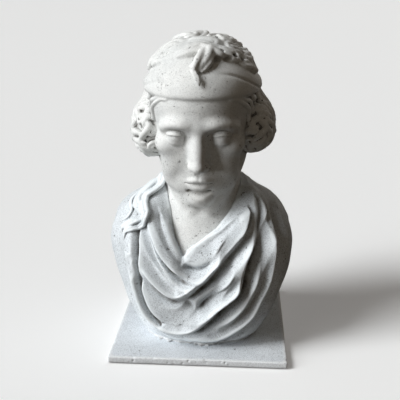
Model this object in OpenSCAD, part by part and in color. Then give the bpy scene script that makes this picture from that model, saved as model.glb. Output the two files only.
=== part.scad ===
// A life-size draped marble bust on a thin square slab.
// Millimetres, +Z up. The origin is the centre of the felt's underside, and the face looks along -Y.
// "turn" is an angle round +Z from the front: 0 is -Y, positive goes towards +X.

/* [Base] */
// Side of the square slab
slab_side = 260; // [250:5:270]
// Thickness of the slab
slab_thick = 10; // [9:1:14]
// Width of the chamfer along the slab's edges
slab_chamfer = 1; // [0.5:0.5:2]
// Thickness of the felt sheet under the slab
felt_thick = 1.5; // [1:0.5:3]
// Distance from the slab's edge to the felt's edge
felt_inset = 5; // [3:1:10]
// Thickness of the mortar bed between slab and bust
bed_thick = 3; // [2:0.5:5]

/* [Bust] */
// Width across the shoulders
shoulder_w = 282; // [274:2:290]
// Height of the draped bust, from its foot to the collar at the nape
torso_h = 228; // [222:2:236]
// Relief of the deepest folds
fold_relief = 9; // [5:1:11]

/* [Head] */
// Height of the head from the chin to the crown, without the hair
head_h = 216; // [208:2:220]
// How far the head is bowed forward, in degrees
head_bow = 14; // [8:1:16]
// Height of the middle of the eye line above the foot of the bust
eye_line_h = 332; // [328:1:338]
// How far the middle of the head stands in front of the slab's middle
head_forward = 8; // [4:1:14]

/* [Fixings] */
// Gap between the head's tenon and its socket, filled with mortar
joint_gap = 1.5; // [1:0.5:2]
// Diameter of the dowel in the neck
dowel_d = 16; // [12:1:20]
// Length of the dowel in the neck
dowel_len = 100; // [80:5:120]
// Distance between the two screws through the slab
screw_spacing = 90; // [70:5:100]
// Thread diameter of the two screws
screw_d = 8; // [6:1:8]

/* [Hidden] */

half_w = shoulder_w / 2;
slab_top = felt_thick + slab_thick;
foot_z = slab_top + bed_thick;
turns = 72;      // points round each ring
round_fn = 48;   // for the true cylinders

// Sections of the draped bust, as [height, half width, front depth, back depth]:
// the height is a share of torso_h, and the others are shares of half the shoulder width.
TORSO = [
    [0.00, 0.66, 0.645, 0.50], [0.06, 0.73, 0.70, 0.54], [0.20, 0.83, 0.745, 0.59],
    [0.31, 0.88, 0.755, 0.61], [0.44, 0.945, 0.745, 0.625], [0.55, 0.985, 0.715, 0.63],
    [0.64, 1.00, 0.67, 0.63], [0.73, 0.98, 0.61, 0.62], [0.81, 0.925, 0.54, 0.61],
    [0.86, 0.87, 0.50, 0.60], [0.90, 0.79, 0.46, 0.58], [0.945, 0.66, 0.42, 0.545],
    [1.00, 0.54, 0.38, 0.51],
];
TORSO_SQUARENESS = 2.6;

// Sections of the tenon and the bare chest and neck above it, in the same shares.
TENON = [
    [0.40, 0.33, 0.43, 0.26], [0.46, 0.42, 0.55, 0.34], [0.56, 0.48, 0.61, 0.40],
    [0.66, 0.49, 0.575, 0.43], [0.77, 0.47, 0.50, 0.45], [0.88, 0.44, 0.40, 0.46],
    [0.98, 0.41, 0.32, 0.47], [1.05, 0.40, 0.30, 0.47],
];
TENON_SQUARENESS = 2.2;
tenon_foot = TENON[0][0];

// Height of the collar's rim by turn, as a share of torso_h: a V at the front, high at the nape.
RIM = [
    [-180, 1.00], [-78, 0.97], [-60, 0.87], [-36, 0.72], [-14, 0.58],
    [8, 0.65], [26, 0.76], [46, 0.86], [66, 0.95], [84, 1.00], [180, 1.00],
];

// Hanging folds of the mantle, as [turn and height of the left end, of the lowest point,
// of the right end, relief, width]; heights and widths are shares of torso_h.
SWAGS = [
    [[-62, 0.92], [-15, 0.50], [56, 0.94], 0.8, 0.040],
    [[-66, 0.80], [0, 0.33], [66, 0.90], 1.0, 0.046],
    [[-68, 0.62], [4, 0.16], [74, 0.84], 0.9, 0.050],
    [[-74, 0.34], [8, 0.02], [84, 0.66], 0.8, 0.050],
    [[108, 0.86], [156, 0.52], [204, 0.90], 0.8, 0.044],
    [[104, 0.66], [170, 0.28], [236, 0.84], 0.9, 0.050],
    [[112, 0.36], [182, 0.06], [250, 0.52], 0.8, 0.052],
];

// Rounded masses of the head in its own frame, as [centre, radii] in shares of head_h:
// cranium, top hair, face, jaw, chin, nose, side hair and the roll at the nape.
HEAD_MASSES = [
    [[0, 0.05, 0.16], [0.395, 0.45, 0.38]], [[0, -0.02, 0.27], [0.30, 0.34, 0.285]],
    [[0, -0.10, -0.10], [0.315, 0.335, 0.34]], [[0, -0.12, -0.30], [0.235, 0.265, 0.20]],
    [[0, -0.22, -0.40], [0.15, 0.15, 0.11]], [[0, -0.32, -0.13], [0.075, 0.17, 0.15]],
    [[-0.23, 0.06, -0.07], [0.275, 0.24, 0.25]], [[0.23, 0.06, -0.07], [0.275, 0.24, 0.25]],
    [[0, 0.27, -0.03], [0.30, 0.27, 0.26]],
];
HEAD_LOW = -0.50;    // the head's rings run between these heights, in shares of head_h
HEAD_HIGH = 0.554;
MASS_BLEND = 12;     // the higher, the crisper the masses meet
neck_half_w = 0.25 * head_h;
neck_front = 0.16 * head_h;
neck_back = 0.30 * head_h;
head_origin = [0, -head_forward, foot_z + eye_line_h];

// The fillet: a band round the hair that rises towards the forehead.
band_mid = 0.28 * head_h;
band_rise = 0.08 * head_h;
band_half_h = 0.10 * head_h;
band_relief = 3.5;
curl_relief = 3;

// Dowel and screws.
dowel_low = foot_z + tenon_foot * torso_h - dowel_len / 2;
dowel_y = -4;
dowel_slack = 0.5;
anchor_d = screw_d + 6;
anchor_len = 45;
screw_len = slab_thick + bed_thick + anchor_len - 8;
screw_slack = 0.05;
screw_head_d = 2 * screw_d;
screw_cone_h = screw_d / 2;

function section(table, h) = [for (i = [1:3]) lookup(h, [for (row = table) [row[0], row[i]]])];

function superellipse(turn, half_width, front, back, squareness) =
    let (depth = cos(turn) > 0 ? front : back)
    pow(pow(abs(sin(turn)) / half_width, squareness) + pow(abs(cos(turn)) / depth, squareness),
        -1 / squareness);

function section_radius(table, turn, h, squareness) =
    let (s = section(table, h) * half_w) superellipse(turn, s[0], s[1], s[2], squareness);

function at(turn, radius, z) = [radius * sin(turn), -radius * cos(turn), z];

// The same turn, counted on from the fold's left end, so that folds can cross the back.
function unwrapped(turn, from) = turn < from - 30 ? turn + 360 : turn;

function swag_relief(swag, turn, h) =
    let (
        left = swag[0], low = swag[1], right = swag[2],
        t = unwrapped(turn, left[0]),
        end = t < low[0] ? left : right,
        reach = (t - low[0]) / (end[0] - low[0]),
        span = abs(end[0] - low[0]) * PI / 180 * half_w / torso_h,
        rise = end[1] - low[1],
        curve = low[1] + rise * reach * reach,
        slope = 2 * rise * reach / span,
        off = (h - curve) / sqrt(1 + slope * slope) / swag[4],
        fade = min(1, max(0, (1.08 - reach) * 6))
    )
    reach > 1.08 ? 0 : swag[3] * fade * exp(-off * off);

function folds(turn, h) =
    max([for (swag = SWAGS) swag_relief(swag, turn, h)]) * min(1, 0.25 + 6 * h);

function tenon_radius(turn, h) = section_radius(TENON, turn, h, TENON_SQUARENESS);

function rim(turn) = lookup(turn, RIM);

function outer_radius(turn, h) =
    max(section_radius(TORSO, turn, h, TORSO_SQUARENESS) + fold_relief * (folds(turn, h) - 0.35),
        tenon_radius(turn, h) + joint_gap + 5);

// The widest point of one mass along a level ray from the head's axis.
function mass_reach(mass, turn, z) =
    let (
        c = mass[0] * head_h, r = mass[1] * head_h,
        level = 1 - pow((z - c[2]) / r[2], 2),
        u = [sin(turn) / r[0], -cos(turn) / r[1]],
        v = [c[0] / r[0], c[1] / r[1]],
        a = u * u, b = u * v, d = b * b - a * (v * v - level)
    )
    level <= 0 || d <= 0 ? 0 : max(0, (b + sqrt(d)) / a);

function neck_radius(turn) = superellipse(turn, neck_half_w, neck_front, neck_back, 2.2);

// Offset of the surface at the band, and at the curls above it and beside the face.
function hair_relief(turn, z) =
    let (
        off_band = abs(z - band_mid - band_rise * cos(turn)) / band_half_h,
        beside_face = min(1, max(0, (abs(turn) - 50) / 12)),
        above_band = z > band_mid + band_rise * cos(turn) ? 1 : beside_face,
        hair_end = min(1, max(0, (z / head_h + 0.36) * 8)),
        curls = sin(9 * turn) * cos(14 * z + 180 * floor(turn / 20))
    )
    off_band < 1 ? band_relief * sqrt(1 - pow(off_band, 4))
        : curl_relief * curls * above_band * hair_end * min(1, (off_band - 1) * 3);

function head_radius(turn, z) =
    let (reaches = [z < 0 ? neck_radius(turn) : 1,
                    for (mass = HEAD_MASSES) mass_reach(mass, turn, z)],
         most = max(reaches),
         merged = most * pow([for (r = reaches) pow(r / most, MASS_BLEND)] * [for (r = reaches) 1],
                             1 / MASS_BLEND))
    merged + hair_relief(turn, z) * min(1, merged / 60);

function head_place(p) =
    head_origin + [p[0], p[1] * cos(head_bow) - p[2] * sin(head_bow),
                   p[1] * sin(head_bow) + p[2] * cos(head_bow)];

function turn_of(i) = -180 + 360 * i / turns;

// A closed solid through rings of equal length, the first and last closed by a fan.
module loft(rings) {
    n = len(rings[0]);
    m = len(rings);
    points = [for (ring = rings) each ring, centre(rings[0]), centre(rings[m - 1])];
    sides = [for (j = [0:m - 2], i = [0:n - 1]) let (k = (i + 1) % n)
             each [[j * n + i, (j + 1) * n + i, j * n + k], [j * n + k, (j + 1) * n + i, (j + 1) * n + k]]];
    low = [for (i = [0:n - 1]) [i, (i + 1) % n, m * n]];
    high = [for (i = [0:n - 1]) [(m - 1) * n + (i + 1) % n, (m - 1) * n + i, m * n + 1]];
    polyhedron(points, concat(sides, low, high));
}

function centre(ring) = [for (k = [0:2]) [for (p = ring) p[k]] * [for (p = ring) 1] / len(ring)];

module screw_places() {
    for (side = [-1, 1])
        translate([side * screw_spacing / 2, 0, 0]) children();
}

module base_felt() {
    side = slab_side - 2 * felt_inset;
    color("darkslategray")
        translate([-side / 2, -side / 2, 0]) cube([side, side, felt_thick]);
}

// A bar along Y with chamfered long edges.
module chamfered_bar() {
    s = slab_side / 2;
    c = slab_chamfer;
    rotate([90, 0, 0]) translate([0, 0, -s]) linear_extrude(slab_side)
        polygon([[-s + c, 0], [s - c, 0], [s, c], [s, slab_thick - c],
                 [s - c, slab_thick], [-s + c, slab_thick], [-s, slab_thick - c], [-s, c]]);
}

// A countersunk screw's head, and the seat that it fits.
module screw_cone() {
    cylinder(h = screw_cone_h, d1 = screw_head_d, d2 = screw_d - 2 * screw_slack, $fn = round_fn);
}

module base_slab() {
    color("gainsboro")
        translate([0, 0, felt_thick])
        difference() {
            intersection() {
                chamfered_bar();
                rotate(90) chamfered_bar();
            }
            screw_places() {
                translate([0, 0, -1]) cylinder(h = slab_thick + 2, d = screw_d + 1, $fn = round_fn);
                screw_cone();
            }
        }
}

// The bust's footprint, grown by a margin.
module foot_outline(margin) {
    s = section(TORSO, 0) * half_w;
    polygon([for (i = [0:turns - 1])
             let (r = superellipse(turn_of(i), s[0], s[1], s[2], TORSO_SQUARENESS) + margin)
             [r * sin(turn_of(i)), -r * cos(turn_of(i))]]);
}

module mortar_bed() {
    color("lightgray")
        difference() {
            translate([0, 0, slab_top]) linear_extrude(bed_thick) foot_outline(1.5);
            screw_places() translate([0, 0, slab_top - 1])
                cylinder(h = bed_thick + 2, d = anchor_d + 1, $fn = round_fn);
        }
}

module slab_screws() {
    color("silver")
        screw_places() translate([0, 0, felt_thick])
        difference() {
            union() {
                screw_cone();
                cylinder(h = screw_len, d = screw_d - 2 * screw_slack, $fn = round_fn);
            }
            translate([0, 0, -1]) cylinder(h = screw_cone_h, d = 0.65 * screw_d, $fn = 6);
        }
}

module screw_anchors() {
    color("goldenrod")
        screw_places() translate([0, 0, slab_top])
        difference() {
            cylinder(h = anchor_len, d = anchor_d, $fn = round_fn);
            translate([0, 0, -1]) cylinder(h = anchor_len + 2, d = screw_d, $fn = round_fn);
        }
}

module dowel_hole() {
    translate([0, dowel_y, dowel_low - dowel_slack])
        cylinder(h = dowel_len + 2 * dowel_slack, d = dowel_d + 2 * dowel_slack, $fn = round_fn);
}

module draped_bust() {
    outer_steps = 46;
    inner_steps = 10;
    outside = [for (j = [0:outer_steps]) [for (i = [0:turns - 1])
        let (turn = turn_of(i), h = rim(turn) * j / outer_steps)
        at(turn, outer_radius(turn, h), foot_z + h * torso_h)]];
    inside = [for (j = [0:inner_steps]) [for (i = [0:turns - 1])
        let (turn = turn_of(i), floor_h = tenon_foot - joint_gap / torso_h,
             h = rim(turn) - (rim(turn) - floor_h) * j / inner_steps)
        at(turn, tenon_radius(turn, h) + joint_gap, foot_z + h * torso_h)]];
    color("whitesmoke")
        difference() {
            loft(concat(outside, inside));
            dowel_hole();
            screw_places() translate([0, 0, foot_z - 1])
                cylinder(h = anchor_len - bed_thick + 1.5, d = anchor_d + 1, $fn = round_fn);
        }
}

// The lower part of the gap round the tenon, filled to just below the lowest point of the rim.
module neck_mortar() {
    steps = 5;
    low = tenon_foot - joint_gap / torso_h;
    high = RIM[4][1] - 0.03;
    color("lightgray")
        difference() {
            loft(concat(
                [for (j = [0:steps]) [for (i = [0:turns - 1])
                    let (turn = turn_of(i), h = low + (high - low) * j / steps)
                    at(turn, tenon_radius(turn, h) + joint_gap - 0.1, foot_z + h * torso_h + 0.1)]],
                [for (j = [0:steps]) [for (i = [0:turns - 1])
                    let (turn = turn_of(i), h = high + (tenon_foot - high) * j / steps)
                    at(turn, tenon_radius(turn, h) + 0.1, foot_z + h * torso_h - 0.1)]]));
            dowel_hole();
        }
}

module neck_dowel() {
    color("silver")
        translate([0, dowel_y, dowel_low])
        cylinder(h = dowel_len, d = dowel_d, $fn = round_fn);
}

module head() {
    tenon_steps = 12;
    head_steps = 52;
    tenon_top = 1.03;
    tenon = [for (j = [0:tenon_steps]) [for (i = [0:turns - 1])
        let (turn = turn_of(i), h = tenon_foot + (tenon_top - tenon_foot) * j / tenon_steps)
        at(turn, tenon_radius(turn, h), foot_z + h * torso_h)]];
    upper = [for (j = [0:head_steps]) [for (i = [0:turns - 1])
        let (turn = turn_of(i),
             share = j / head_steps,
             z = head_h * (HEAD_LOW + (HEAD_HIGH - 0.001 - HEAD_LOW) * sin(90 * pow(share, 0.9))))
        head_place(at(turn, head_radius(turn, z), z))]];
    color("whitesmoke")
        difference() {
            loft(concat(tenon, upper));
            dowel_hole();
        }
}

base_felt();
base_slab();
mortar_bed();
slab_screws();
screw_anchors();
draped_bust();
neck_mortar();
neck_dowel();
head();
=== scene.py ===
"""The looks of a life-size draped marble bust on a thin square slab.

The head and the draped bust are carved in code: shapes are added to and cut from a block of signed
distances, as a sculptor works in clay, and the block's zero level becomes the mesh.
All sizes are in millimetres until a mesh is made. A "turn" is an angle in degrees round +Z, from the
front, -Y, towards +X.
"""

import math

import bpy
import numpy as np
import openvdb
from mathutils import Matrix, Vector


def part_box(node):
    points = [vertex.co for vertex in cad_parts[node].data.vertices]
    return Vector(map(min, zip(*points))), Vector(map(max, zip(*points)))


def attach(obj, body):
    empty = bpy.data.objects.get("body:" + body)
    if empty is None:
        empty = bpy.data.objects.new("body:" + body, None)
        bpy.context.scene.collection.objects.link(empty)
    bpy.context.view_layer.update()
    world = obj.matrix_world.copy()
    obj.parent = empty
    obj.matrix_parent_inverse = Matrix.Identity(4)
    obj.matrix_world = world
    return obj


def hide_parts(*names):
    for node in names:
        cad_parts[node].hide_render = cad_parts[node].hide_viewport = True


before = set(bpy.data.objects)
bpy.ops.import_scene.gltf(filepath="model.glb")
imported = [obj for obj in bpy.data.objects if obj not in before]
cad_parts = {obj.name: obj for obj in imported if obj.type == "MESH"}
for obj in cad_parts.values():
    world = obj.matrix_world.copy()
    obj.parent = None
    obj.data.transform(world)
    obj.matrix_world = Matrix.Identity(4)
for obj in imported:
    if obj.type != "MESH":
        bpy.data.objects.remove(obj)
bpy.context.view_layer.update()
MM = 0.001
BOXES = {node: [np.array(corner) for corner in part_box(node)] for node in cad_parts}
FAR = 60.0  # distances are only trusted this close to a surface
SETTLE = 14.0  # how far round a shape its distances are filled in
ROW_SPACING = 3.0  # spacing of the rows of a rope or a lock
CARVING_STEP, QUICK_STEP = 1.25, 2.2  # spacing of the grid for the head and the draped bust
SLAB_STEP, MORTAR_STEP = 1.25, 0.8
CARVED_FACES, PLAIN_FACES = 190000, 60000  # triangles left on a carved piece and on a plain one

# The two scales at which a point counts as hollow, for the dirt and painted shade in hollows and the
# painted highlight on proud places: the radius of the blur, and how deep the point has to lie in the
# blurred stone to count in full.
HOLLOWS = {"hollow": (3.0, 1.2), "sunk": (9.0, 4.0)}


# ---------------------------------------------------------------- curves and tables


def rows_through(rows, spacing, lengths=None):
    """Rows along a smooth curve through the given rows, about spacing apart in their first columns."""
    rows = np.array(rows, float)
    scale = np.ones(rows.shape[1]) if lengths is None else np.array(lengths, float)
    padded = np.vstack([2 * rows[0] - rows[1], rows, 2 * rows[-1] - rows[-2]])
    out = []
    for before, start, end, after in zip(padded, padded[1:], padded[2:], padded[3:]):
        span = np.linalg.norm(((end - start) * scale)[:3])
        steps = max(1, math.ceil(span / spacing))
        t = np.arange(steps)[:, None] / steps
        out.append(
            0.5
            * (
                2 * start
                + (end - before) * t
                + (2 * before - 5 * start + 4 * end - after) * t**2
                + (3 * start - before - 3 * end + after) * t**3
            )
        )
    return np.vstack(out + [rows[-1:]])


def lookup(table, at):
    """The columns of a table, smoothly interpolated over its first column."""
    table = np.array(table, float)
    dense = rows_through(table, 0.02)
    return [np.interp(at, dense[:, 0], dense[:, k]) for k in range(1, table.shape[1])]


def units(vectors):
    """Vectors made one long, each in a row of its own."""
    return vectors / np.maximum(np.linalg.norm(vectors, axis=1), 1e-6)[:, None]


def smooth_step(x):
    x = np.clip(x, 0, 1)
    return x * x * (3 - 2 * x)


def bell(x, width):
    return np.exp(-((x / width) ** 2))


def turn_of(x, y):
    return np.degrees(np.arctan2(x, -y))


# ---------------------------------------------------------------- clay


class Clay:
    """Signed distances on a regular grid, negative inside."""

    def __init__(self, low, high, step):
        self.low = np.array(low, float)
        self.step = step
        self.count = np.ceil((np.array(high) - self.low) / step).astype(int) + 1
        self.d = np.full(self.count, FAR, np.float32)

    def part(self, low, high):
        """Slices for the part of the grid between two corners."""
        first = np.floor((np.array(low) - self.low) / self.step).astype(int)
        last = np.ceil((np.array(high) - self.low) / self.step).astype(int) + 1
        first = np.clip(first, 0, self.count)
        last = np.clip(last, first, self.count)
        return tuple(slice(a, b) for a, b in zip(first, last))

    def coordinates(self, part):
        """The coordinates of a part of the grid."""
        axes = [low + self.step * np.arange(s.start, s.stop) for low, s in zip(self.low, part)]
        return np.meshgrid(*(axis.astype(np.float32) for axis in axes), indexing="ij", sparse=True)

    def add(self, shape, blend=0.0):
        """Joins a shape on, with a fillet of about the blend's size."""
        self._join(shape, blend, 1)

    def cut(self, shape, blend=0.0):
        """Takes a shape away, with rounded edges of about the blend's size."""
        self._join(shape, blend, -1)

    def _join(self, shape, blend, sign):
        low, high = shape.corners()
        reach = blend + SETTLE
        part = self.part(low - reach, high + reach)
        if self.d[part].size:
            self.d[part] = sign * soft_min(sign * self.d[part], shape.distance(self, part), blend)

    def blurred(self, radius):
        """The distances averaged over a cube of about this radius."""
        n = max(1, round(radius / self.step))
        out = np.clip(self.d, -3 * radius, 3 * radius)
        for axis in range(3):
            pads = [(n + 1, n) if k == axis else (0, 0) for k in range(3)]
            total = np.cumsum(np.pad(out, pads, "edge"), axis)
            size = out.shape[axis]
            upper = np.take(total, range(2 * n + 1, 2 * n + 1 + size), axis)
            lower = np.take(total, range(0, size), axis)
            out = (upper - lower) / (2 * n + 1)
        return out

    def sample(self, values, points):
        """Values of a grid like this one at points, interpolated between its corners."""
        at = np.clip((points - self.low) / self.step, 0, np.array(values.shape) - 1.001)
        base = at.astype(int)
        t = at - base
        total = 0
        for corner in np.ndindex(2, 2, 2):
            weight = np.prod(np.where(corner, t, 1 - t), axis=1)
            total = total + weight * values[tuple((base + corner).T)]
        return total


def soft_min(a, b, blend):
    """The smaller of two distances, rounded over where they are about the same."""
    if blend <= 0:
        return np.minimum(a, b)
    overlap = np.maximum(blend - np.abs(a - b), 0) / blend
    return np.minimum(a, b) - overlap * overlap * (blend / 4)


class Ball:
    """An ellipsoid."""

    def __init__(self, centre, radii):
        self.centre = np.array(centre, float)
        self.radii = np.broadcast_to(np.array(radii, float), 3)

    def corners(self):
        return self.centre - self.radii, self.centre + self.radii

    def away(self, x, y, z):
        """About how far places are from the surface, less than 0 inside."""
        p = [g - c for g, c in zip((x, y, z), self.centre)]
        near = np.sqrt(sum((q / r) ** 2 for q, r in zip(p, self.radii)))
        slope = np.sqrt(sum((q / r**2) ** 2 for q, r in zip(p, self.radii)))
        return near * (near - 1) / np.maximum(slope, 1e-6)

    def distance(self, clay, part):
        return self.away(*clay.coordinates(part))


class Rope:
    """A round rope through rows of [x, y, z, radius]."""

    def __init__(self, rows, smooth=True):
        self.rows = rows_through(rows, ROW_SPACING) if smooth else np.array(rows, float)

    def corners(self):
        radius = self.rows[:, 3:4]
        return (self.rows[:, :3] - radius).min(0), (self.rows[:, :3] + radius).max(0)

    def distance(self, clay, part):
        out = np.full([s.stop - s.start for s in part], FAR, np.float32)
        for start, end in zip(self.rows, self.rows[1:]):
            reach = max(start[3], end[3]) + SETTLE
            low, high = np.minimum(start, end)[:3] - reach, np.maximum(start, end)[:3] + reach
            inner = [shared(a, b) for a, b in zip(clay.part(low, high), part)]
            local = tuple(slice(a.start - b.start, a.stop - b.start) for a, b in zip(inner, part))
            if out[local].size == 0:
                continue
            p = [g - c for g, c in zip(clay.coordinates(inner), start)]
            along = (end - start)[:3]
            length2 = max(float(along @ along), 1e-9)
            t = np.clip(sum(q * a for q, a in zip(p, along)) / length2, 0, 1)
            away = np.sqrt(sum((q - t * a) ** 2 for q, a in zip(p, along)))
            out[local] = np.minimum(out[local], away - (start[3] + t * (end[3] - start[3])))
        return out


def strand(places, radius):
    """A rope through places that are close together already."""
    return Rope(np.column_stack([places, radius]), smooth=False)


def shared(a, b):
    """The stretch that two slices share, which may be empty."""
    start = max(a.start, b.start)
    return slice(start, max(start, min(a.stop, b.stop)))


class Field:
    """A shape from a function of the coordinates, between two corners."""

    def __init__(self, low, high, function):
        self.low, self.high = np.array(low, float), np.array(high, float)
        self.function = function

    def corners(self):
        return self.low, self.high

    def distance(self, clay, part):
        return self.function(*clay.coordinates(part)).astype(np.float32)


def piece_from(clay, name, faces, place=None, more_dirt_and_shade=None):
    """An object of the clay's surface, cut down to a number of faces and put in place.

    It keeps how hollow or proud each point is, for the dirt, painted shade and painted highlight, and more
    so where the last argument says.
    """
    points, quads = surface(clay)
    # More dirt and painted shade in the hollows where the last argument says, as in the drilled hair.
    share = 1.0 if more_dirt_and_shade is None else 1.0 + more_dirt_and_shade(*points.T)
    hollows = {
        key: np.clip(-share * clay.sample(clay.blurred(radius), points) / full, -1, 1)
        for key, (radius, full) in HOLLOWS.items()
    }
    if place is not None:
        points = place(points)
    mesh = bpy.data.meshes.new(name)
    mesh.vertices.add(len(points))
    mesh.vertices.foreach_set("co", (points * MM).astype(np.float32).ravel())
    mesh.loops.add(quads.size)
    mesh.loops.foreach_set("vertex_index", quads[:, ::-1].astype(np.int32).ravel())
    mesh.polygons.add(len(quads))
    mesh.polygons.foreach_set("loop_start", np.arange(0, quads.size, 4, dtype=np.int32))
    for key, values in hollows.items():
        mesh.attributes.new(key, "FLOAT", "POINT").data.foreach_set("value", values.astype(np.float32))
    mesh.update(calc_edges=True)
    piece = new_object(name, mesh)
    thin_out(piece, faces)
    piece.data.polygons.foreach_set("use_smooth", np.ones(len(piece.data.polygons), bool))
    return piece


def surface(clay):
    """Points and quads of the clay's zero level, with the points drawn onto it in two passes."""
    grid = openvdb.FloatGrid(3.0)
    grid.copyFromArray(np.ascontiguousarray(np.clip(clay.d / clay.step, -3, 3), np.float32))
    points, quads = grid.convertToQuads(isovalue=0.0)
    points = clay.low + points.astype(float) * clay.step
    slopes = np.gradient(clay.d, clay.step)
    for _ in range(2):
        value = clay.sample(clay.d, points)
        slope = np.stack([clay.sample(s, points) for s in slopes], 1)
        size2 = np.maximum((slope**2).sum(1), 0.05)
        points -= slope * np.clip(value / size2, -clay.step, clay.step)[:, None]
    return points, quads


def new_object(name, data):
    """An object of a mesh, a camera or a light, in the scene."""
    made = bpy.data.objects.new(name, data)
    bpy.context.collection.objects.link(made)
    return made


def thin_out(piece, faces):
    """Collapses edges where the surface is plainest, until about this many triangles are left."""
    ratio = faces / (2 * len(piece.data.polygons))
    if ratio < 1:
        piece.modifiers.new("thin", "DECIMATE").ratio = ratio
        depsgraph = bpy.context.evaluated_depsgraph_get()
        finished = bpy.data.meshes.new_from_object(piece.evaluated_get(depsgraph))
        piece.modifiers.clear()
        piece.data = finished


# ---------------------------------------------------------------- the draped bust

# Sections of the bust as rows of (share of its height, half width, front depth, back depth), the last
# three as shares of its greatest half width.
TORSO = [
    (0.00, 0.66, 0.645, 0.50), (0.06, 0.73, 0.70, 0.54), (0.20, 0.83, 0.745, 0.59),
    (0.31, 0.88, 0.755, 0.61), (0.44, 0.945, 0.745, 0.625), (0.55, 0.985, 0.715, 0.63),
    (0.64, 1.00, 0.67, 0.63), (0.73, 0.98, 0.61, 0.62), (0.81, 0.925, 0.54, 0.61),
    (0.86, 0.87, 0.50, 0.60), (0.90, 0.79, 0.46, 0.58), (0.945, 0.66, 0.42, 0.545),
    (1.00, 0.54, 0.38, 0.51), (1.08, 0.40, 0.30, 0.47),
]
TORSO_SQUARENESS = 2.6

# The same for the bare chest and neck, which run down into the bust as its tenon.
CHEST = [
    (0.40, 0.33, 0.43, 0.26), (0.46, 0.42, 0.55, 0.34), (0.56, 0.48, 0.61, 0.40),
    (0.66, 0.49, 0.575, 0.43), (0.77, 0.47, 0.50, 0.45), (0.88, 0.44, 0.40, 0.46),
    (0.98, 0.41, 0.32, 0.47), (1.08, 0.40, 0.29, 0.47),
]
CHEST_SQUARENESS = 2.2

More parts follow.
